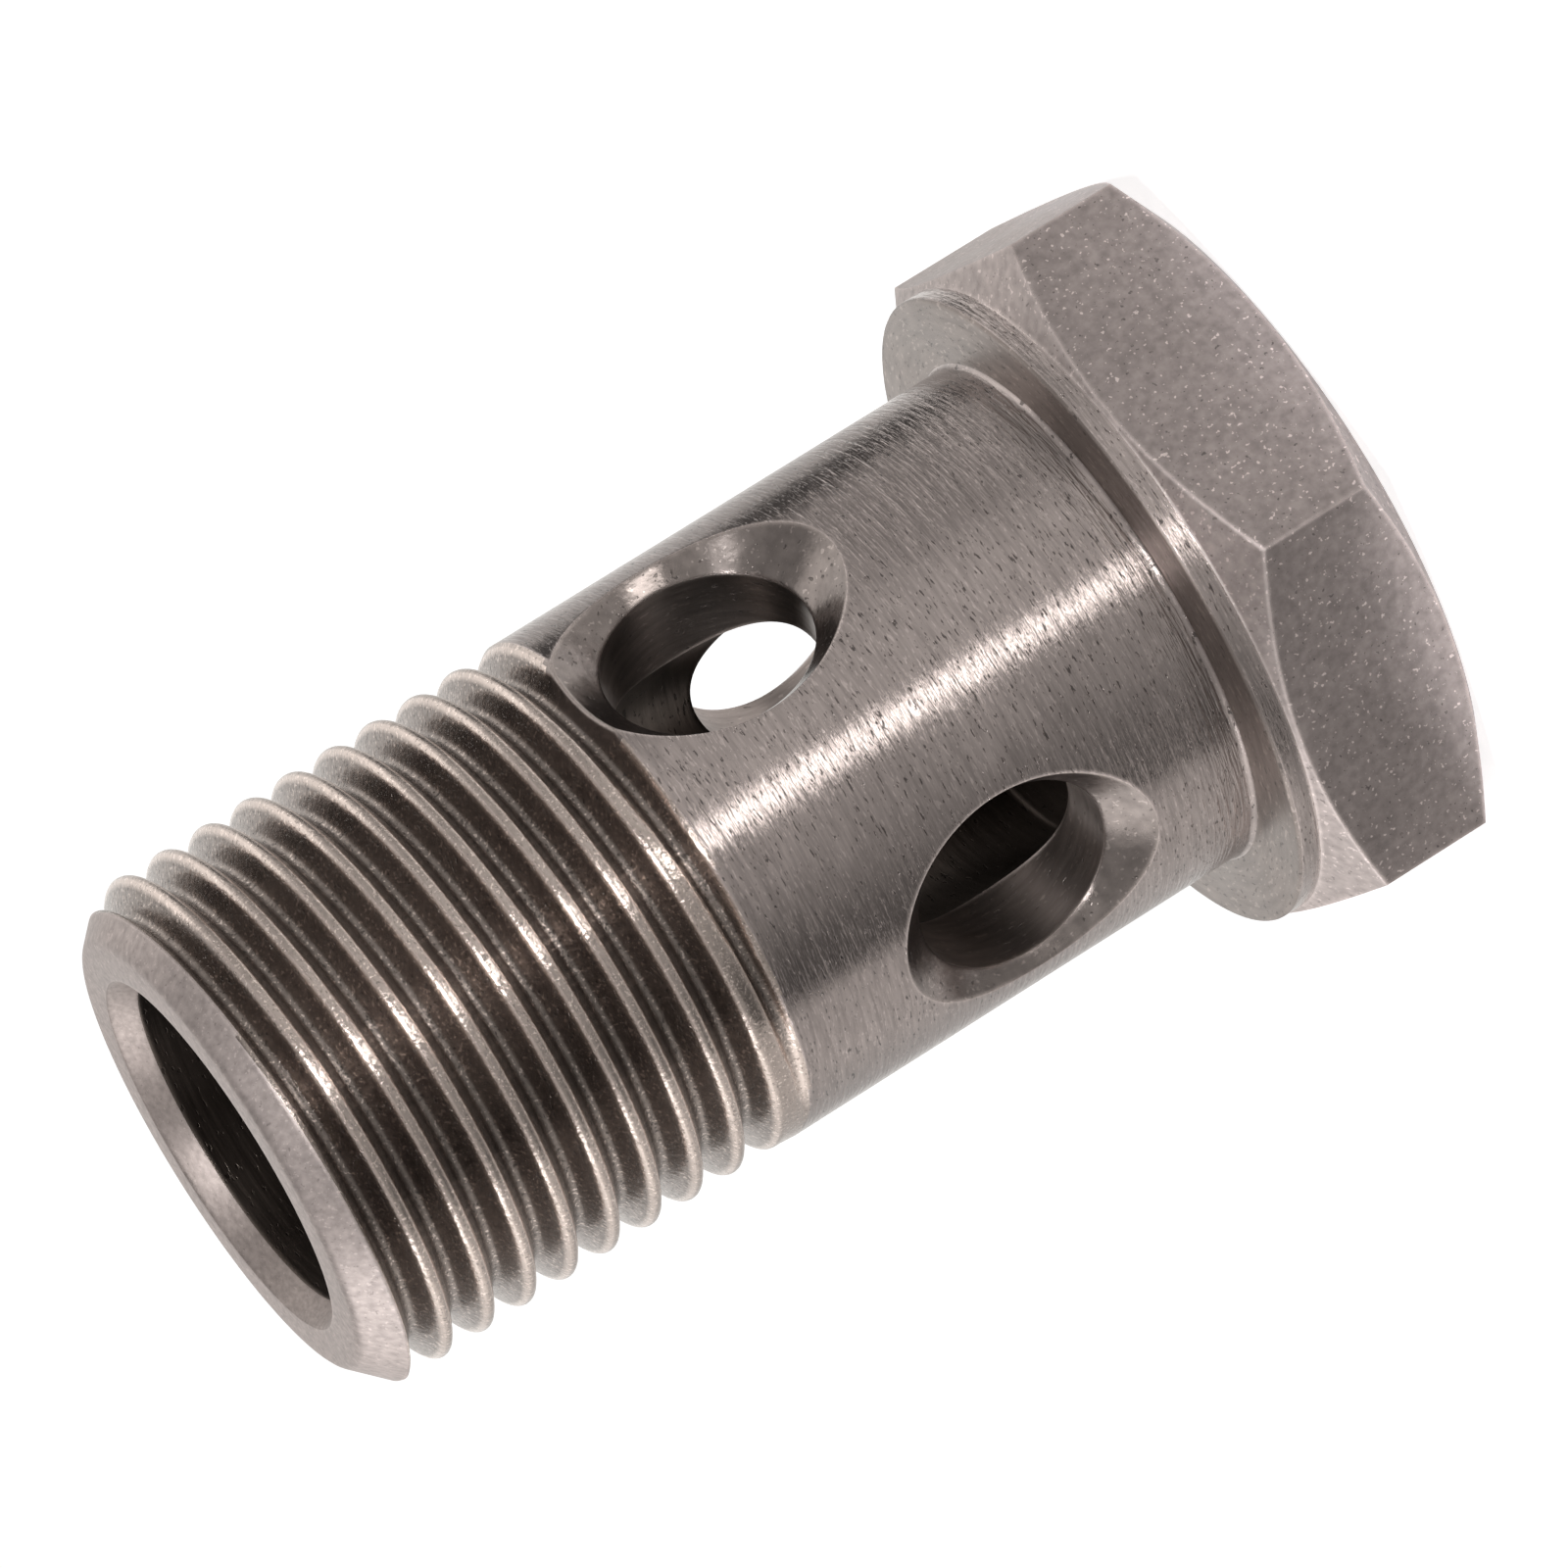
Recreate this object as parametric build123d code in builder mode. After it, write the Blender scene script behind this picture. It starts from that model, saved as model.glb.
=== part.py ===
# Banjo bolt for a 1/2 inch parallel pipe thread, turned and drilled from one hexagon bar. The thread's
# length is a plain cylinder over the crests of its 14 turns an inch. Units are millimetres. The bolt
# stands on its head: Z runs up the shank to the threaded tip, and the origin is the middle of the
# bearing face, where the head meets the shank.
from build123d import *
import math
import os

os.makedirs("parts", exist_ok=True)

# Head, below the bearing face
across_flats = 27.0
head_height = 8.0
head_turn = 11.3  # degrees from the +X cross hole to the next corner
corner_angle = 30.0  # degrees, of the cones that take off the corners above and below
top_face_dia = 26.5
washer_dia = 26.6  # round bearing face under the hexagon
washer_height = 0.9
washer_edge = 0.12

# Shank, above the bearing face
shank_dia = 20.955
shank_length = 38.4
root_fillet = 0.2

# Threaded length, at the tip
thread_dia = 20.84
thread_length = 17.82  # of full diameter, from the tip
thread_lead = 0.65  # taper between the plain shank and the thread
tip_chamfer = 1.45
tip_rounding = 0.6

# Central bore, drilled from the tip
bore_dia = 13.3
bore_floor = 4.6  # height at which the full diameter ends
drill_angle = 118.0
mouth_dia = 14.6
mouth_depth = 0.95

# Cross holes, drilled through both walls and countersunk outside
cross_dia = 8.0
lower_hole_height = 9.45  # along Y
lower_sink_dia = 10.9
upper_hole_height = 14.75  # along X
upper_sink_dia = 11.5
sink_angle = 90.0

# Room by which the cutting cones stand clear of the hexagon's corners
clearance = 0.1

shank_radius = shank_dia / 2
thread_radius = thread_dia / 2
washer_radius = washer_dia / 2
corner_radius = across_flats / 2 / math.cos(math.pi / 6)
bore_radius = bore_dia / 2
thread_start = shank_length - thread_length

# Hexagon head, its corners taken off above and below
with BuildPart() as head:
    with BuildSketch(Plane.XY.offset(-head_height)) as hexagon:
        RegularPolygon(across_flats / 2, 6, major_radius=False, rotation=head_turn)
    extrude(amount=head_height - washer_height)
    with BuildSketch(Plane.XZ) as corner_cones:
        with BuildLine():
            reach = corner_radius + clearance
            slope = math.tan(math.radians(corner_angle))
            Polyline(
                (0, -head_height),
                (top_face_dia / 2, -head_height),
                (reach, -head_height + (reach - top_face_dia / 2) * slope),
                (reach, -washer_height - (reach - washer_radius) * slope),
                (washer_radius, -washer_height),
                (0, -washer_height),
                close=True,
            )
        make_face()
    revolve(mode=Mode.INTERSECT)

# The bolt: turned to its outline, joined to its hexagon, bored and cross-drilled
with BuildPart() as banjo_bolt:
    with BuildSketch(Plane.XZ) as outline:
        tip_corner = (thread_radius - tip_chamfer, shank_length)
        with BuildLine():
            Polyline(
                (0, -washer_height),
                (washer_radius, -washer_height),
                (washer_radius, 0),
                (shank_radius, 0),
                (shank_radius, thread_start - thread_lead),
                (thread_radius, thread_start),
                (thread_radius, shank_length - tip_chamfer),
                tip_corner,
                (0, shank_length),
                close=True,
            )
        make_face()
        chamfer(outline.vertices().sort_by_distance((washer_radius, 0))[0], washer_edge)
        fillet(outline.vertices().sort_by_distance((shank_radius, 0))[0], root_fillet)
        fillet(outline.vertices().sort_by_distance(tip_corner)[0], tip_rounding)
    revolve()
    add(head.part)

    with BuildSketch(Plane.XZ) as bore:
        with BuildLine():
            Polyline(
                (0, bore_floor - bore_radius / math.tan(math.radians(drill_angle / 2))),
                (bore_radius, bore_floor),
                (bore_radius, shank_length - mouth_depth),
                (mouth_dia / 2, shank_length),
                (0, shank_length),
                close=True,
            )
        make_face()
    revolve(mode=Mode.SUBTRACT)

    cross_holes = (
        (Vector(1, 0, 0), upper_hole_height, upper_sink_dia),
        (Vector(0, 1, 0), lower_hole_height, lower_sink_dia),
    )
    for across, height, sink_dia in cross_holes:
        for outward in (across, -across):
            with Locations(Plane(outward * shank_radius + Vector(0, 0, height), z_dir=outward)):
                CounterSinkHole(cross_dia / 2, sink_dia / 2, shank_radius, sink_angle)

banjo_bolt.part.label = "banjo_bolt"
export_step(banjo_bolt.part, "parts/banjo_bolt.step")
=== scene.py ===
import math

import bmesh
import bpy
from mathutils import Matrix, Vector


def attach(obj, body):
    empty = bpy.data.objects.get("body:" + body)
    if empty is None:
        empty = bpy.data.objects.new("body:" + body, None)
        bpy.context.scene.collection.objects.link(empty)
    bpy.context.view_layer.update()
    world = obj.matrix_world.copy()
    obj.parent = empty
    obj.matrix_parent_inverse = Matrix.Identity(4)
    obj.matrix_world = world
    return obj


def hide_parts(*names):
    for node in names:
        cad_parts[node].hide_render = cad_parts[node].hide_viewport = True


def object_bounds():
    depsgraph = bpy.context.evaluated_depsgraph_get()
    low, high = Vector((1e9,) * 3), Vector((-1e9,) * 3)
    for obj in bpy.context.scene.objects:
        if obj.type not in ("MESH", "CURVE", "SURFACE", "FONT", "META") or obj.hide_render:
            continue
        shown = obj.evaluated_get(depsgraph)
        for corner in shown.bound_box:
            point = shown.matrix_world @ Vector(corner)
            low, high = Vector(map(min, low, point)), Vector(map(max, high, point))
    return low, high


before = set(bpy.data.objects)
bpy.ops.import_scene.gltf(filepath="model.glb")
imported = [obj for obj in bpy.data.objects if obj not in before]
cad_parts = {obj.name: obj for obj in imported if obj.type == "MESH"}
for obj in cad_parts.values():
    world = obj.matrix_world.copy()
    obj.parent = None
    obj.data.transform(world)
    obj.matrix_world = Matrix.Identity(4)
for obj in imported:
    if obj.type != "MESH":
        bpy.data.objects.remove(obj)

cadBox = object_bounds()  # the solid's box, taken straight after loading
mm = 0.001
cutTolerance = 1e-7  # metres
bpy.context.scene.view_settings.view_transform = "Standard"
print("frame loaded")

# The bolt: one turned, threaded and drilled piece
bolt = {
    "steps": 192,  # round the axis
    "acrossFlats": 27.0 * mm,
    "headTurn": 11.3,  # degrees from +X to a corner
    "headHeight": 8.0 * mm,
    "topFaceRadius": 13.25 * mm,
    "collarRadius": 13.3 * mm,
    "collarHeight": 0.9 * mm,
    "coneAngle": 30.0,
    "coneReach": 15.7 * mm,  # just past the corners
    "shankRadius": 10.4775 * mm,
    "shankLength": 38.4 * mm,
    "tipChamfer": 1.45 * mm,
    "tipRounding": 0.6 * mm,
    "mouthRadius": 7.3 * mm,
    "mouthDepth": 0.95 * mm,
    "boreRadius": 6.65 * mm,
    "boreFloor": 4.6 * mm,
    "drillAngle": 118.0,
    "edge": 0.12 * mm,  # rounding of the turned edges
    "rootRounding": 0.2 * mm,
    "cornerEdge": 0.3 * mm,  # rounding of the six corners
    "cornerLength": 3.0 * mm,  # an upright edge longer than this is a corner
    "uprightFrom": 0.999,  # rise of such an edge over its length
    "flatEdge": 0.1 * mm,  # rounding along the flats
    "arcSteps": 4,  # in a turned rounding
    "bevelSteps": 3,  # in a rounding of the hexagon
    "drillTip": 0.02 * mm,  # last ring of the drill point, before it closes
    "sharpAngle": 30.0,  # between faces that aren't shaded as one
}
# How far below the end its rounding meets the tip's chamfer
tipFoot = bolt["tipRounding"] * math.tan(math.pi / 8) * math.sin(math.pi / 4)

# The thread: rounded at its roots and its crests
thread = {
    "pitch": 25.4 / 14 * mm,
    "radius": 10.42 * mm,
    "floor": 9.26 * mm,
    "rounding": 0.249 * mm,
    "flank": math.radians(27.5),
    "start": 20.58 * mm,  # height of the groove over +X where its full depth begins
    "fade": math.radians(129.0),  # turn in which the groove runs out
    "clear": 0.1 * mm,  # by which its floor has left the shank there
    "arcSteps": 3,
    "lowest": 18.9 * mm,  # below the last trace of the run-out
    "tipRunOut": 37.4 * mm,  # where the groove starts to rise out of the tip's chamfer
    "merge": 0.005 * mm,
}

# Cross holes through both walls, with their countersinks
crossHoles = {
    "upper": {"height": 14.75 * mm, "turn": 0.0, "radius": 4.0 * mm, "sink": 5.75 * mm},
    "lower": {"height": 9.45 * mm, "turn": 90.0, "radius": 4.0 * mm, "sink": 5.45 * mm},
}
drill = {
    "past": 2.0 * mm,  # outside the shank
    "steps": 96,
    "merge": 0.001 * mm,
}


def threadRows():  # offsets from a groove's middle, one pitch of them
    reach = math.pi / 2 - thread["flank"]
    half, arc = thread["pitch"] / 2, thread["rounding"] * math.cos(thread["flank"])
    rows = [side * (arc + (half - 2 * arc) * share) for side in (-1, 1) for share in (1 / 3, 2 / 3)]
    for middle in (0, half):
        for i in range(-thread["arcSteps"], thread["arcSteps"] + 1):
            rows.append(middle + thread["rounding"] * math.sin(reach * i / thread["arcSteps"]))
    return rows


def grooveRadius(offset):  # radius of the surface at an offset along the axis from a groove's middle
    rounding, half = thread["rounding"], thread["pitch"] / 2
    arcWidth = rounding * math.cos(thread["flank"])
    arcRise = rounding * (1 - math.sin(thread["flank"]))
    distance = abs(offset)
    flankRise = (half - 2 * arcWidth) / math.tan(thread["flank"])
    if distance < arcWidth:
        return thread["floor"] + rounding - math.sqrt(rounding**2 - distance**2)
    if half - distance < arcWidth:
        crest = thread["floor"] + 2 * arcRise + flankRise
        return crest - rounding + math.sqrt(rounding**2 - (half - distance) ** 2)
    return thread["floor"] + arcRise + (distance - arcWidth) / math.tan(thread["flank"])


def threadedRadius(height, angle):  # the blank, cut by the groove where there is one
    runOut = thread["start"] - thread["pitch"] * thread["fade"] / math.tau
    lead = min(max((height - runOut) / (thread["start"] - runOut), 0), 1)
    radius = bolt["shankRadius"] - (bolt["shankRadius"] - thread["radius"]) * lead
    turns = (height - thread["start"]) / thread["pitch"] - angle / math.tau
    nearest = round(turns)
    swept = angle + math.tau * nearest
    if swept > -thread["fade"]:
        deep = bolt["shankRadius"] + thread["clear"] - thread["floor"]
        lift = deep * max(-swept / thread["fade"], 0)
        lift += max(height - thread["tipRunOut"], 0)
        radius = min(radius, grooveRadius((turns - nearest) * thread["pitch"]) + lift)
    past = height - (bolt["shankLength"] - bolt["tipChamfer"])
    return min(radius, thread["radius"] - past) if past > 0 else radius


def roundedOutline(corners):  # (radius, height, rounding) corners to points, arcs included
    points = [corners[0][:2]]
    for before, corner, after in zip(corners, corners[1:], corners[2:]):
        here = Vector(corner[:2])
        back = (Vector(before[:2]) - here).normalized()
        on = (Vector(after[:2]) - here).normalized()
        if not corner[2]:
            points.append(tuple(here))
            continue
        half = back.angle(on) / 2
        centre = here + (back + on).normalized() * (corner[2] / math.sin(half))
        first = here + back * (corner[2] / math.tan(half)) - centre
        last = here + on * (corner[2] / math.tan(half)) - centre
        for i in range(bolt["arcSteps"] + 1):
            arm = first.lerp(last, i / bolt["arcSteps"]).normalized() * corner[2]
            points.append(tuple(centre + arm))
    points.append(corners[-1][:2])
    return points


def growLoop(bm, edges, points):  # turns the loop's edges out to each next point of an outline
    for radius, height in points:
        grown = bmesh.ops.extrude_edge_only(bm, edges=edges)["geom"]
        verts = {part for part in grown if isinstance(part, bmesh.types.BMVert)}
        for vert in verts:
            setRadius(vert, radius)
            vert.co.z = height
        edges = [edge for edge in edgesOf(grown) if verts.issuperset(edge.verts)]
    return edges


def edgesOf(parts):
    return [part for part in parts if isinstance(part, bmesh.types.BMEdge)]


def setRadius(vert, radius):
    vert.co.xy = vert.co.xy.normalized() * radius


def cutPlane(bm, place, outward, outer=False, inner=False):  # cuts the mesh and returns the cut's edges
    cut = bmesh.ops.bisect_plane(
        bm, geom=bm.verts[:] + bm.edges[:] + bm.faces[:], dist=cutTolerance,
        plane_co=place, plane_no=outward, clear_outer=outer, clear_inner=inner)
    return edgesOf(cut["geom_cut"])


def makeThread(bm):  # a sheet of helical rows, set to the thread's radius
    rows = sorted(threadRows())
    low = math.floor((thread["lowest"] - thread["start"]) / thread["pitch"]) - 1
    high = math.ceil((bolt["shankLength"] - thread["start"]) / thread["pitch"]) + 1
    verts = []
    for turn in range(low, high):
        for row in rows:
            height = thread["start"] + turn * thread["pitch"] + row
            verts.append(bm.verts.new((thread["radius"], 0, height)))
    edges = [bm.edges.new(pair) for pair in zip(verts, verts[1:])]
    bmesh.ops.spin(
        bm, geom=verts + edges, cent=(0, 0, 0), axis=(0, 0, 1), angle=math.tau,
        dvec=(0, 0, thread["pitch"] / bolt["steps"]), steps=bolt["steps"], use_merge=False)
    bmesh.ops.remove_doubles(bm, verts=bm.verts[:], dist=thread["merge"])
    upward = (0, 0, 1)
    cutPlane(bm, (0, 0, bolt["shankLength"] - bolt["tipChamfer"]), upward)
    bottom = cutPlane(bm, (0, 0, thread["lowest"]), upward, inner=True)
    top = cutPlane(bm, (0, 0, bolt["shankLength"] - tipFoot), upward, outer=True)
    bottom = [edge for edge in bottom if edge.is_valid]
    for vert in bm.verts:
        setRadius(vert, threadedRadius(vert.co.z, math.atan2(vert.co.y, vert.co.x)))
    return bottom, top


def makeFlats(bm):  # six planes cut the turned head to a hexagon
    flats = []
    for side in range(6):
        turn = math.radians(bolt["headTurn"] + 30 + 60 * side)
        outward = Vector((math.cos(turn), math.sin(turn), 0))
        rim = cutPlane(bm, outward * bolt["acrossFlats"] / 2, outward, outer=True)
        flats += bmesh.ops.edgeloop_fill(bm, edges=rim)["faces"]
    for offset, upright in ((bolt["cornerEdge"], True), (bolt["flatEdge"], False)):
        edges = dict.fromkeys(edge for flat in flats if flat.is_valid for edge in flat.edges)
        if upright:
            edges = [edge for edge in edges if isUpright(edge)]
        bmesh.ops.bevel(
            bm, geom=list(edges), offset=offset, offset_type="OFFSET", segments=bolt["bevelSteps"],
            profile=0.5, affect="EDGES", material=-1, clamp_overlap=not upright)


def isUpright(edge):  # one of the six corners between the flats
    run = edge.verts[1].co - edge.verts[0].co
    return run.length > bolt["cornerLength"] and abs(run.normalized().z) > bolt["uprightFrom"]


def makeBody():
    bm = bmesh.new()
    bottom, top = makeThread(bm)
    slope = math.tan(math.radians(bolt["coneAngle"]))
    foot = -bolt["headHeight"]
    collar = -bolt["collarHeight"]
    down = [
        (bolt["shankRadius"], thread["lowest"], 0),
        (bolt["shankRadius"], 0, bolt["rootRounding"]),
        (bolt["collarRadius"], 0, bolt["edge"]),
        (bolt["collarRadius"], collar, 0),
        (bolt["coneReach"], collar - (bolt["coneReach"] - bolt["collarRadius"]) * slope, 0),
        (bolt["coneReach"], foot + (bolt["coneReach"] - bolt["topFaceRadius"]) * slope, 0),
        (bolt["topFaceRadius"], foot, bolt["edge"]),
        (bolt["collarRadius"] / 2, foot, 0),
    ]
    rim = growLoop(bm, bottom, roundedOutline(down)[1:])
    bmesh.ops.edgeloop_fill(bm, edges=rim)
    tipRadius = thread["radius"] - bolt["tipChamfer"]
    point = bolt["boreFloor"] - bolt["boreRadius"] / math.tan(math.radians(bolt["drillAngle"] / 2))
    up = [
        (tipRadius + 2 * tipFoot, bolt["shankLength"] - 2 * tipFoot, 0),
        (tipRadius, bolt["shankLength"], bolt["tipRounding"]),
        (bolt["mouthRadius"], bolt["shankLength"], bolt["edge"]),
        (bolt["boreRadius"], bolt["shankLength"] - bolt["mouthDepth"], bolt["edge"]),
        (bolt["boreRadius"], bolt["boreFloor"], 0),
        (bolt["drillTip"], point, 0),
    ]
    rim = growLoop(bm, top, roundedOutline(up)[2:])
    ends = list(dict.fromkeys(vert for edge in rim for vert in edge.verts))
    bmesh.ops.pointmerge(bm, verts=ends, merge_co=(0, 0, point))
    makeFlats(bm)
    bmesh.ops.recalc_face_normals(bm, faces=bm.faces[:])
    return finishMesh(bm, "banjoBolt")


def finishMesh(bm, name):
    mesh = bpy.data.meshes.new(name)
    bm.to_mesh(mesh)
    bm.free()
    piece = bpy.data.objects.new(name, mesh)
    bpy.context.scene.collection.objects.link(piece)
    return piece


def makeCutter(hole):  # a drill with a countersink at each end, right through
    sinkStart = bolt["shankRadius"] - (hole["sink"] - hole["radius"])
    past = bolt["shankRadius"] + drill["past"]
    wide = hole["radius"] + past - sinkStart
    side = [(0, past), (wide, past), (hole["radius"], sinkStart)]
    side += [(radius, -height) for radius, height in reversed(side)]
    bm = bmesh.new()
    verts = [bm.verts.new((radius, 0, height)) for radius, height in side]
    edges = [bm.edges.new(pair) for pair in zip(verts, verts[1:])]
    bmesh.ops.spin(
        bm, geom=verts + edges, cent=(0, 0, 0), axis=(0, 0, 1), angle=math.tau,
        steps=drill["steps"], use_merge=True)
    bmesh.ops.remove_doubles(bm, verts=bm.verts[:], dist=drill["merge"])
    bmesh.ops.recalc_face_normals(bm, faces=bm.faces[:])
    lying = Matrix.Rotation(math.radians(hole["turn"]), 4, "Z") @ Matrix.Rotation(math.pi / 2, 4, "Y")
    placed = Matrix.Translation((0, 0, hole["height"])) @ lying
    bmesh.ops.transform(bm, matrix=placed, verts=bm.verts[:])
    return finishMesh(bm, "drill")


def drillHoles(piece):
    cutters = []
    for hole in crossHoles.values():
        cutter = makeCutter(hole)
        cutters.append(cutter)
        cut = piece.modifiers.new("drill", "BOOLEAN")
        cut.object = cutter
        cut.operation = "DIFFERENCE"
        cut.solver = "EXACT"
    evaluated = piece.evaluated_get(bpy.context.evaluated_depsgraph_get())
    piece.data = bpy.data.meshes.new_from_object(evaluated)
    piece.data.name = piece.name
    piece.modifiers.clear()
    for cutter in cutters:
        bpy.data.objects.remove(cutter)


banjoBolt = makeBody()
drillHoles(banjoBolt)
banjoBolt.data.shade_smooth()
banjoBolt.data.set_sharp_from_angle(angle=math.radians(bolt["sharpAngle"]))
print("bolt made:", len(banjoBolt.data.polygons), "faces")


# Steel: one warm grey metal, finished in a different way on each kind of surface, with painted shade in the
# thread's grooves, the holes, the bore, the countersinks and on the collar's face, and painted highlights
# on the crests and edges
metal = (0.42, 0.366, 0.351)
paleMetal = (0.44, 0.386, 0.373)
greyMetal = (0.38, 0.33, 0.32)
# Painted shade: the thread's steel, darker than the shank's, for the shade on its flanks and in its grooves
grooveShadeMetal = (0.26, 0.223, 0.204)
# Painted shade: steel darkened in the mouth of the bore and inside the lower cross hole
holeShadeMetal = (0.34, 0.293, 0.276)
# Painted shade: steel darkened further on the collar's face at the foot of the shank and inside the upper
# cross hole
deepShadeMetal = (0.25, 0.215, 0.2)
finishes = {
    "turnedShank": {
        "colour": metal, "dark": 0.35, "roughness": (0.07, 0.12), "turned": True,
        "marks": (640, 640, 7000), "depth": 0.045 * mm, "pits": 0.36, "glints": 0.3, "edge": 0.6,
    },
    "cutThread": {
        "colour": grooveShadeMetal, "dark": 0.45, "roughness": (0.18, 0.26), "turned": True,
        "marks": (3600, 3600, 5200), "depth": 0.024 * mm, "pits": 0.37, "glints": 1.2, "edge": 0.8,
        # Its crests lighter: partly rubbed bright by use, partly a painted highlight, less so at the very
        # crown
        "polishAndHighlight": {
            "from": 10.1 * mm, "to": 10.28 * mm, "level": 1.6, "smooth": 0.5,
            "crown": 10.37 * mm, "crownEnd": 10.4 * mm, "crownLevel": 0.6,
        },
    },
    "facedCollar": {
        "colour": deepShadeMetal, "dark": 0.5, "roughness": (0.25, 0.35), "turned": True,
        "marks": (600, 600, 5200), "depth": 0.012 * mm, "pits": 0.36, "glints": 0.5, "edge": 0.5,
    },
    "drawnHexagon": {
        "colour": greyMetal, "dark": 0.5, "roughness": (0.4, 0.5), "turned": False,
        "marks": (2600, 2600, 2600), "depth": 0.014 * mm, "pits": 0.328, "glints": 1.0, "edge": 0.8,
    },
    "turnedCone": {
        "colour": paleMetal, "dark": 0.6, "roughness": (0.42, 0.52), "turned": True,
        "marks": (2400, 2400, 4200), "depth": 0.008 * mm, "pits": 0.34, "glints": 0.5, "edge": 0.4,
    },
    "facedNose": {
        "colour": metal, "dark": 0.7, "roughness": (0.42, 0.52), "turned": True,
        "marks": (3600, 3600, 3600), "depth": 0.003 * mm, "pits": 0.34, "glints": 0.3, "edge": 0.35,
    },
    "sunkMouth": {
        "colour": holeShadeMetal, "dark": 0.75, "roughness": (0.45, 0.55), "turned": True,
        "marks": (3200, 3200, 4200), "depth": 0.004 * mm, "pits": 0.33, "glints": 0.2, "edge": 0.3,
    },
    # Painted shade: the countersinks' steel darkened at the mouths of the cross holes
    "countersink": {
        "colour": (0.27, 0.235, 0.222), "dark": 0.5, "roughness": (0.16, 0.24), "turned": False,
        "marks": (1800, 1800, 1800), "depth": 0.012 * mm, "pits": 0.34, "glints": 0.5, "edge": 1.0,
    },
    # Painted shade: the bore's steel made near black, for the shade deep inside it
    "drilledBore": {
        "colour": (0.12, 0.1, 0.088), "dark": 0.5, "roughness": (0.3, 0.42), "turned": True,
        "marks": (300, 300, 3200), "depth": 0.015 * mm, "pits": 0.36, "glints": 0.1, "edge": 0.3,
    },
    # The cross holes' walls: darker than the shank as painted shade, the upper more than the lower
    "drilledUpper": {
        "colour": deepShadeMetal, "dark": 0.6, "roughness": (0.34, 0.46), "turned": False,
        "marks": (3600, 500, 500), "depth": 0.014 * mm, "pits": 0.33, "glints": 0.4, "edge": 0.7,
    },
    "drilledLower": {
        "colour": holeShadeMetal, "dark": 0.6, "roughness": (0.34, 0.46), "turned": False,
        "marks": (500, 3600, 500), "depth": 0.014 * mm, "pits": 0.33, "glints": 0.4, "edge": 0.7,
    },
}
# What all finishes share: how the noises turn into tones, and where the edges are made brighter, partly
# rubbed by use and partly as a painted highlight
grain = {
    "middle": (0.3, 0.7),  # where most of a noise lies
    "marksTone": (0.8, 1.15),
    "marksDetail": 4,
    "cloudScale": (150, 150, 150),
    "cloudDetail": 3,
    "cloudTone": (0.88, 1.1),
    "cloudRough": (0.35, 0.65),
    "pitScale": 1.4,  # of the marks' scale
    "pitFine": 1500,
    "pitDetail": 2,
    "pitSlope": 0.05,
    "pitDepth": 0.5,
    "glintFrom": 0.985,
    "glintTo": 1.015,
    "radiusShare": 0.6,
}
# Sharp edges: how far they are rounded, and where they get their brightening, partly rubbed by use and
# partly a painted highlight
edgeWearAndHighlight = {"samples": 6, "radius": 0.28 * mm, "from": 0.99, "to": 0.92}


def noise(nodes, links, place, scale, detail):
    stretch = nodes.new("ShaderNodeMapping")
    stretch.inputs["Scale"].default_value = scale
    texture = nodes.new("ShaderNodeTexNoise")
    texture.inputs["Scale"].default_value = 1
    texture.inputs["Detail"].default_value = detail
    links.new(place, stretch.inputs["Vector"])
    links.new(stretch.outputs[0], texture.inputs["Vector"])
    return texture.outputs["Fac"]


def ranged(nodes, links, value, start, end, low, high):
    change = nodes.new("ShaderNodeMapRange")
    change.inputs["From Min"].default_value = start
    change.inputs["From Max"].default_value = end
    change.inputs["To Min"].default_value = low
    change.inputs["To Max"].default_value = high
    links.new(value, change.inputs["Value"])
    return change.outputs[0]


def mathOf(nodes, links, operation, first, second):
    step = nodes.new("ShaderNodeMath")
    step.operation = operation
    for socket, value in zip(step.inputs, (first, second)):
        if isinstance(value, (int, float)):
            socket.default_value = value
        else:
            links.new(value, socket)
    return step.outputs[0]


def lathePlace(nodes, links, place):  # x and y, and a third coordinate that grows along turned surfaces
    parts = nodes.new("ShaderNodeSeparateXYZ")
    links.new(place, parts.inputs[0])
    square = [mathOf(nodes, links, "MULTIPLY", parts.outputs[axis], parts.outputs[axis]) for axis in "XY"]
    radius = mathOf(nodes, links, "SQRT", mathOf(nodes, links, "ADD", *square), 0)
    share = mathOf(nodes, links, "MULTIPLY", radius, grain["radiusShare"])
    along = mathOf(nodes, links, "ADD", parts.outputs["Z"], share)
    joined = nodes.new("ShaderNodeCombineXYZ")
    links.new(parts.outputs["X"], joined.inputs["X"])
    links.new(parts.outputs["Y"], joined.inputs["Y"])
    links.new(along, joined.inputs["Z"])
    return joined.outputs[0], radius


def edgeMask(nodes, links):  # 1 on the sharp edges, where the metal is rounded and made brighter: partly rubbed by use, partly a painted highlight
    rounded = nodes.new("ShaderNodeBevel")
    rounded.samples = edgeWearAndHighlight["samples"]
    rounded.inputs["Radius"].default_value = edgeWearAndHighlight["radius"]
    flat = nodes.new("ShaderNodeNewGeometry")
    turn = nodes.new("ShaderNodeVectorMath")
    turn.operation = "DOT_PRODUCT"
    links.new(rounded.outputs[0], turn.inputs[0])
    links.new(flat.outputs["Normal"], turn.inputs[1])
    return ranged(nodes, links, turn.outputs["Value"], edgeWearAndHighlight["from"], edgeWearAndHighlight["to"], 0, 1), rounded.outputs[0]


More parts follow.
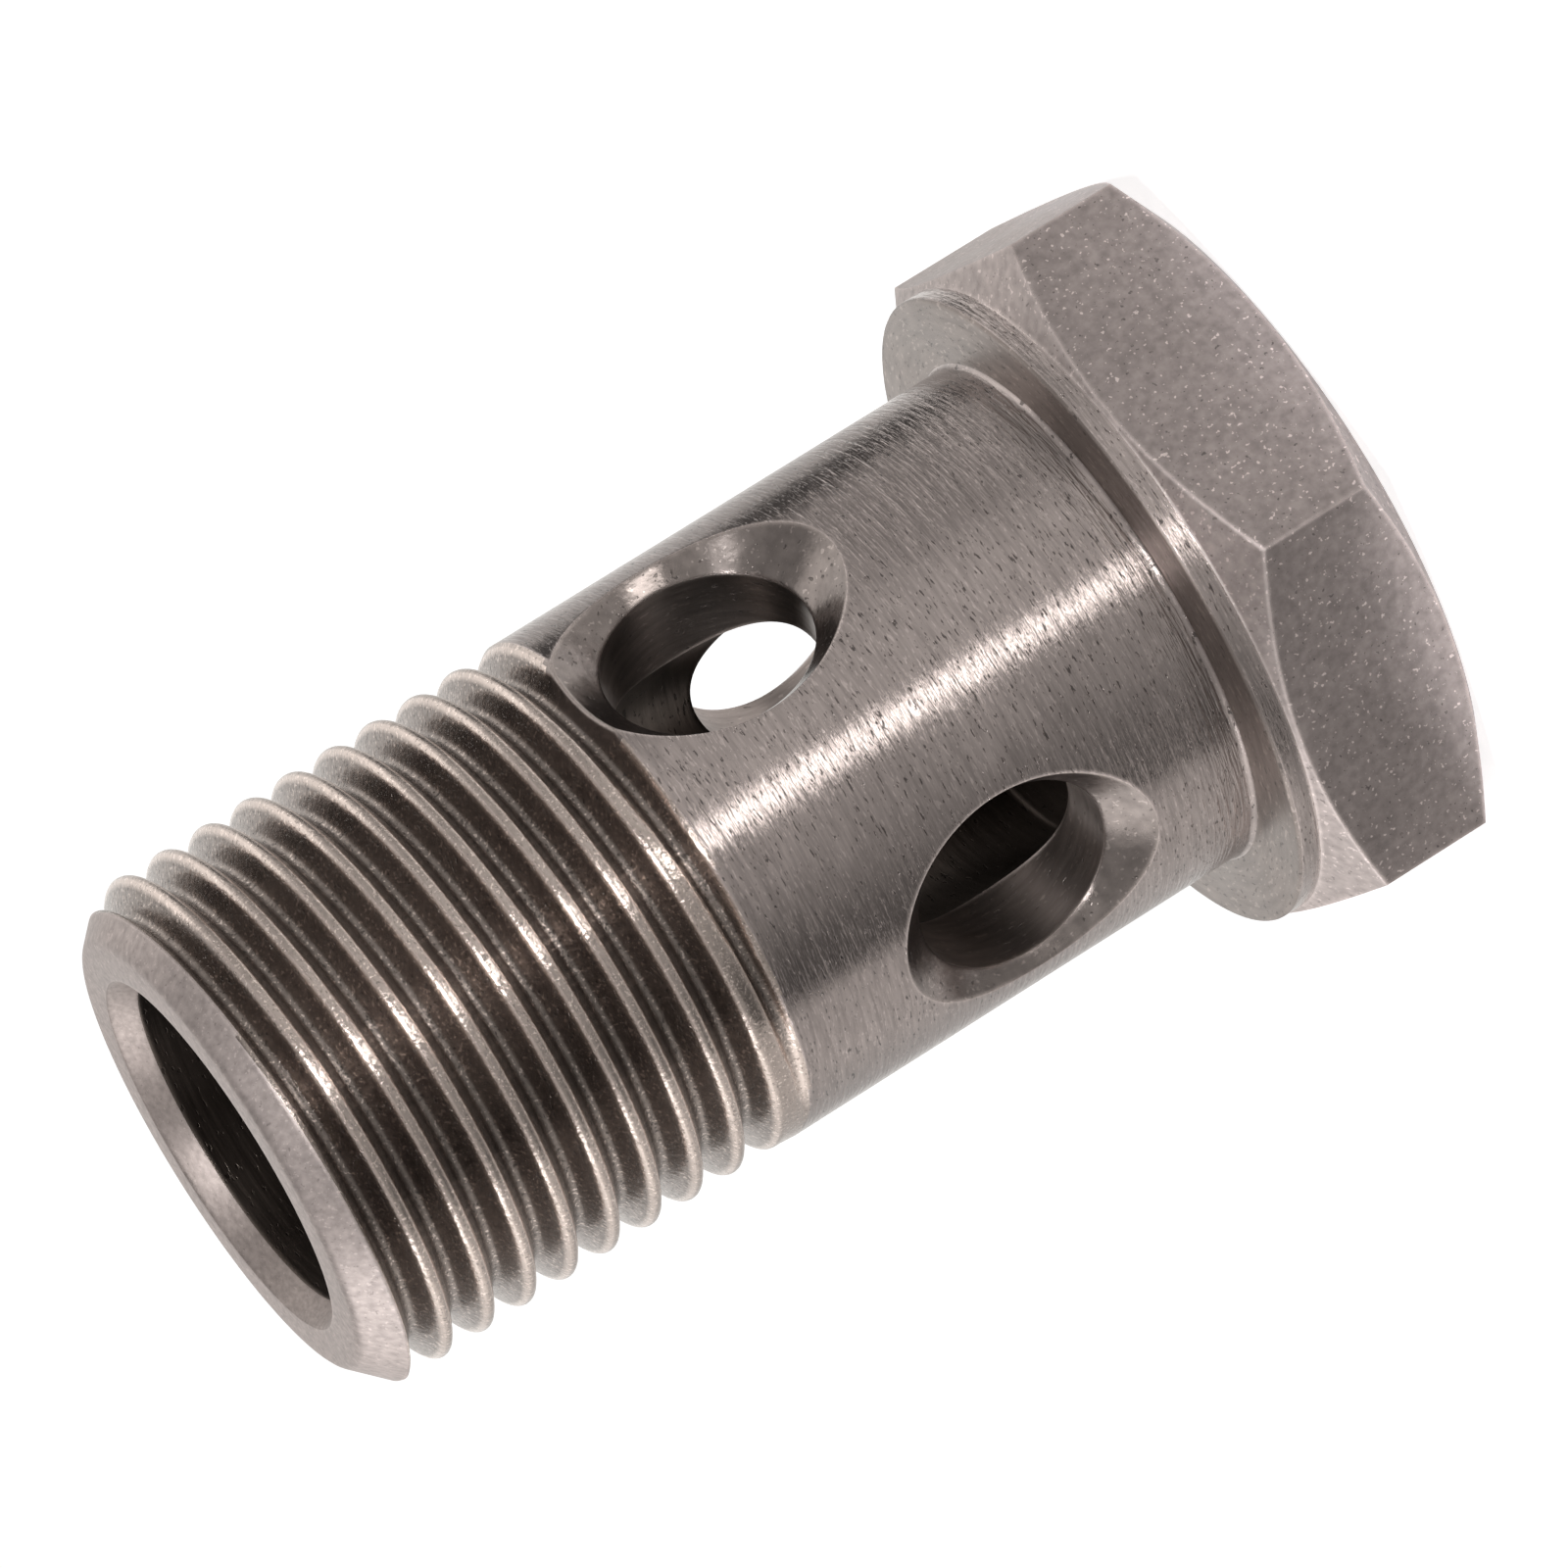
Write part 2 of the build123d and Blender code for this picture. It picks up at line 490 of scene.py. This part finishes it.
def makeFinish(name, finish):
    material = bpy.data.materials.new(name)
    material.use_nodes = True
    nodes, links = material.node_tree.nodes, material.node_tree.links
    shader = nodes["Principled BSDF"]
    shader.inputs["Metallic"].default_value = 1
    place = nodes.new("ShaderNodeTexCoord").outputs["Object"]
    lathe, radius = lathePlace(nodes, links, place)
    if finish["turned"]:
        place = lathe
    marks = noise(nodes, links, place, finish["marks"], grain["marksDetail"])
    cloud = noise(nodes, links, place, grain["cloudScale"], grain["cloudDetail"])
    pitScale = [grain["pitScale"] * scale + grain["pitFine"] for scale in finish["marks"]]
    pitting = noise(nodes, links, place, pitScale, grain["pitDetail"])
    pit = ranged(nodes, links, pitting, finish["pits"], finish["pits"] - grain["pitSlope"], 0, 1)
    edges, rounded = edgeMask(nodes, links)
    # Brighter sharp edges: partly rubbed by use, partly a painted highlight along rims and corners
    wearAndHighlight = mathOf(nodes, links, "MULTIPLY", edges, finish["edge"])
    roughness = ranged(nodes, links, cloud, *grain["cloudRough"], *finish["roughness"])
    # The thread's crests made lighter and less rough: partly rubbed bright by use, partly a painted
    # highlight
    if "polishAndHighlight" in finish:
        polishAndHighlight = finish["polishAndHighlight"]
        flank = ranged(nodes, links, radius, polishAndHighlight["from"], polishAndHighlight["to"], 0, polishAndHighlight["level"])
        crown = ranged(nodes, links, radius, polishAndHighlight["crown"], polishAndHighlight["crownEnd"], 1, polishAndHighlight["crownLevel"])
        crest = mathOf(nodes, links, "MULTIPLY", flank, crown)
        wearAndHighlight = mathOf(nodes, links, "ADD", wearAndHighlight, crest)
        smooth = ranged(nodes, links, radius, polishAndHighlight["from"], polishAndHighlight["to"], 1, polishAndHighlight["smooth"])
        roughness = mathOf(nodes, links, "MULTIPLY", roughness, smooth)
    marksTone = ranged(nodes, links, marks, *grain["middle"], *grain["marksTone"])
    cloudTone = ranged(nodes, links, cloud, *grain["middle"], *grain["cloudTone"])
    tone = mathOf(nodes, links, "MULTIPLY", marksTone, cloudTone)
    tone = mathOf(nodes, links, "MULTIPLY", tone, ranged(nodes, links, pit, 0, 1, 1, finish["dark"]))
    glintFrom, glintTo = grain["glintFrom"] - finish["pits"], grain["glintTo"] - finish["pits"]
    glint = ranged(nodes, links, pitting, glintFrom, glintTo, 0, finish["glints"])
    tone = mathOf(nodes, links, "ADD", tone, mathOf(nodes, links, "ADD", wearAndHighlight, glint))
    tint = nodes.new("ShaderNodeVectorMath")
    tint.operation = "SCALE"
    tint.inputs[0].default_value = finish["colour"]
    links.new(tone, tint.inputs["Scale"])
    links.new(tint.outputs[0], shader.inputs["Base Color"])
    links.new(roughness, shader.inputs["Roughness"])
    hollow = mathOf(nodes, links, "MULTIPLY", pit, grain["pitDepth"])
    relief = mathOf(nodes, links, "SUBTRACT", marks, hollow)
    bump = nodes.new("ShaderNodeBump")
    bump.inputs["Distance"].default_value = finish["depth"]
    links.new(relief, bump.inputs["Height"])
    links.new(rounded, bump.inputs["Normal"])
    links.new(bump.outputs[0], shader.inputs["Normal"])
    return material


# Where one kind of surface ends: distances past a limit, and parts of a face's normal
kinds = {
    "near": 0.02 * mm,
    "past": 0.01 * mm,
    "shankFoot": 0.3 * mm,
    "level": 0.5,  # upward part
    "upright": 0.9,  # outward part, as in the two below
    "square": 0.999,
    "inward": -0.3,
}


def surfaceAt(centre, normal):  # the finish of a face, by where it lies
    radius, height = centre.xy.length, centre.z
    outward = normal.xy.dot(centre.xy.normalized())
    if height < -bolt["collarHeight"] - kinds["past"]:
        return "turnedCone" if normal.z > kinds["level"] else "drawnHexagon"
    if height < kinds["near"] and outward < kinds["upright"]:
        return "facedCollar"
    if height > bolt["shankLength"] - bolt["tipChamfer"] and normal.z > kinds["level"]:
        return "sunkMouth" if outward < kinds["inward"] else "facedNose"
    if radius < bolt["boreRadius"] + kinds["near"] or (outward < 0 and height > thread["start"]):
        return "drilledBore"
    onShank = outward > kinds["square"] and radius > bolt["shankRadius"] - kinds["near"]
    if onShank or height < kinds["shankFoot"]:
        return "turnedShank"
    sink = math.hypot(centre.y, height - crossHoles["upper"]["height"])
    if height > thread["start"] - thread["pitch"] and sink > crossHoles["upper"]["sink"]:
        return "cutThread"
    across, hole = (centre.y, "upper") if abs(centre.x) > abs(centre.y) else (centre.x, "lower")
    wide = math.hypot(across, height - crossHoles[hole]["height"]) - crossHoles[hole]["radius"]
    if wide > kinds["past"] and outward > 0:
        return "countersink"
    return "drilledUpper" if hole == "upper" else "drilledLower"


banjoBolt.data.materials.clear()
for name, finish in finishes.items():
    banjoBolt.data.materials.append(makeFinish(name, finish))
order = list(finishes)
for face in banjoBolt.data.polygons:
    face.material_index = order.index(surfaceAt(face.center, face.normal))
print("finishes given:", len(order))
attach(banjoBolt, "root")
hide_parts("banjo_bolt")

# Camera, as fitted to the photograph
view = {
    "target": Vector((0.40, 0.42, 13.26)) * mm,
    "distance": 412.7 * mm,
    "azimuth": math.radians(-43.6),  # of the camera, from +X
    "elevation": math.radians(14.56),
    "roll": math.radians(-121.98),
    "lens": 259.5,
    "sensor": 36.0,
    "clipStart": 0.01,
}


def aimedAt(place, target, roll=0.0):
    turn = (target - place).to_track_quat("-Z", "Y").to_matrix().to_4x4()
    return Matrix.Translation(place) @ turn @ Matrix.Rotation(roll, 4, "Z")


def fromView(azimuth, elevation, distance):  # a place round the bolt, counted from the camera's side
    turn, lift = view["azimuth"] + math.radians(azimuth), math.radians(elevation)
    arm = Vector((math.cos(turn) * math.cos(lift), math.sin(turn) * math.cos(lift), math.sin(lift)))
    return view["target"] + arm * distance


camera = bpy.data.objects.new("camera", bpy.data.cameras.new("camera"))
camera.data.lens = view["lens"]
camera.data.sensor_width = view["sensor"]
camera.data.clip_start = view["clipStart"]
place = fromView(0, math.degrees(view["elevation"]), view["distance"])
camera.matrix_world = aimedAt(place, view["target"], view["roll"])
bpy.context.scene.collection.objects.link(camera)
bpy.context.scene.camera = camera

# Studio: a pale floor, a pale surround, two lamps and three round glowing screens, graded in tone, that
# paint reflections into the metal
studio = {
    "floorSize": 3.0,
    "floorGap": 0.03 * mm,
    "floorColour": (0.8, 0.8, 0.8, 1),
    "floorGlow": 0.75,
    "surround": (0.9, 0.88, 0.86, 1),
    "surroundLevel": 0.14,
    "surroundSeen": 1.2,
    "surroundMirrored": 0.35,  # share of it that the metal shows above the screens
    "screenSteps": 96,
}
lamps = {
    "key": {"from": (5, 47, 0.5), "size": 0.12, "power": 1.1},
    "left": {"from": (-115, 35, 0.6), "size": 0.35, "power": 1.2},
}
# The screens glow and show only in the metal, as a painted reflection. Their tones go round from behind the
# bolt, in degrees from the camera's side: painted dark slots at -70 to -52 and 112 to 124, and one narrow
# bright strip at 3 to 7, a painted highlight
screens = {
    "mat": {
        "outline": [(17, 0.2), (42, 0.2)],  # mm from the axis and above the floor
        "tones": {-180: 0.8, -90: 0.7, -55: 0.42, -15: 0.42, 0: 0.68, 55: 0.72, 75: 1.0, 180: 1.0},
    },
    "tent": {
        "outline": [(42, 0.2), (120, 0.2), (165, 20)],
        "tones": {
            -180: 1.0, -150: 0.6, -110: 0.72, -74: 0.66, -70: 0.14, -52: 0.18, -20: 0.48, 1: 0.6,
            3: 5.4, 7: 5.4, 9: 0.8, 35: 0.72, 60: 0.45, 104: 0.4, 112: 0.12, 124: 0.12, 132: 0.55, 180: 1.0,
        },
    },
    "canopy": {
        "outline": [(165, 20), (180, 75), (185, 150), (168, 200)],
        "tones": {
            -180: 1.1, -150: 0.8, -112: 1.2, -74: 0.66, -52: 0.35, -20: 0.48, 5: 0.6,
            35: 0.72, 60: 0.5, 90: 0.7, 112: 1.3, 150: 0.95, 180: 1.1,
        },
    },
}
# Tint and strength of the screens' glow, a painted reflection in the metal
reflectionGlow = {"tint": (1.0, 0.98, 0.95), "level": 5.4}


def litNodes(material):  # an empty material with a glow to build on
    material.use_nodes = True
    nodes, links = material.node_tree.nodes, material.node_tree.links
    nodes.clear()
    output = nodes.new("ShaderNodeOutputMaterial")
    glow = nodes.new("ShaderNodeEmission")
    return nodes, links, output, glow


def makeFloor():
    bm = bmesh.new()
    bmesh.ops.create_grid(bm, x_segments=1, y_segments=1, size=studio["floorSize"])
    bmesh.ops.translate(bm, vec=(0, 0, cadBox[0][2] - studio["floorGap"]), verts=bm.verts[:])
    floor = finishMesh(bm, "floor")
    material = bpy.data.materials.new("paleFloor")
    nodes, links, output, glow = litNodes(material)
    paint = nodes.new("ShaderNodeBsdfDiffuse")
    paint.inputs["Color"].default_value = studio["floorColour"]
    rays = nodes.new("ShaderNodeLightPath")
    both = nodes.new("ShaderNodeAddShader")
    seen = mathOf(nodes, links, "MAXIMUM", rays.outputs["Is Camera Ray"], rays.outputs["Is Glossy Ray"])
    links.new(mathOf(nodes, links, "MULTIPLY", seen, studio["floorGlow"]), glow.inputs["Strength"])
    links.new(paint.outputs[0], both.inputs[0])
    links.new(glow.outputs[0], both.inputs[1])
    links.new(both.outputs[0], output.inputs["Surface"])
    floor.data.materials.append(material)


def makeScreen(name, screen):
    bm = bmesh.new()
    verts = [bm.verts.new((radius * mm, 0, height * mm)) for radius, height in screen["outline"]]
    edges = [bm.edges.new(pair) for pair in zip(verts, verts[1:])]
    bmesh.ops.spin(
        bm, geom=verts + edges, cent=(0, 0, 0), axis=(0, 0, 1), angle=math.tau,
        steps=studio["screenSteps"], use_merge=True)
    sheet = finishMesh(bm, name)
    sheet.location.z = cadBox[0][2]
    sheet.rotation_euler.z = view["azimuth"]
    material = bpy.data.materials.new(name + "PaintedReflection")
    nodes, links, output, glow = litNodes(material)
    place = nodes.new("ShaderNodeSeparateXYZ")
    links.new(nodes.new("ShaderNodeTexCoord").outputs["Object"], place.inputs[0])
    turn = mathOf(nodes, links, "ARCTAN2", place.outputs["Y"], place.outputs["X"])
    grading = nodes.new("ShaderNodeValToRGB")
    links.new(ranged(nodes, links, turn, -math.pi, math.pi, 0, 1), grading.inputs[0])
    stops = grading.color_ramp.elements
    tones = list(screen["tones"].items())
    for angle, _ in tones[1:-1]:
        stops.new((angle + 180) / 360)
    for stop, (angle, tone) in zip(stops, tones):
        stop.color = [tone / reflectionGlow["level"] * channel for channel in reflectionGlow["tint"]] + [1]
    # Painted reflection: a glow graded round the bolt from the camera's side, which only the metal shows
    links.new(grading.outputs[0], glow.inputs["Color"])
    glow.inputs["Strength"].default_value = reflectionGlow["level"]
    links.new(glow.outputs[0], output.inputs["Surface"])
    sheet.data.materials.append(material)
    sheet.visible_camera = sheet.visible_diffuse = sheet.visible_shadow = False
    sheet.visible_transmission = False


def makeWorld():
    world = bpy.data.worlds.new("surround")
    world.use_nodes = True
    nodes, links = world.node_tree.nodes, world.node_tree.links
    backdrop = nodes["Background"]
    backdrop.inputs["Color"].default_value = studio["surround"]
    rays = nodes.new("ShaderNodeLightPath")
    bounced = rays.outputs["Is Glossy Ray"], rays.outputs["Is Transmission Ray"]
    mirrored = mathOf(nodes, links, "MAXIMUM", *bounced)
    mirrored = mathOf(nodes, links, "MULTIPLY", mirrored, studio["surroundMirrored"])
    seen = mathOf(nodes, links, "MAXIMUM", rays.outputs["Is Camera Ray"], mirrored)
    level = ranged(nodes, links, seen, 0, 1, studio["surroundLevel"], studio["surroundSeen"])
    links.new(level, backdrop.inputs["Strength"])
    bpy.context.scene.world = world


def makeLamps():
    for name, lamp in lamps.items():
        light = bpy.data.lights.new(name, "AREA")
        light.shape = "DISK"
        light.size = lamp["size"]
        light.energy = lamp["power"]
        source = bpy.data.objects.new(name, light)
        source.matrix_world = aimedAt(fromView(*lamp["from"]), view["target"])
        bpy.context.scene.collection.objects.link(source)


makeFloor()
for name, screen in screens.items():
    makeScreen(name, screen)
makeWorld()
makeLamps()
print("studio set")
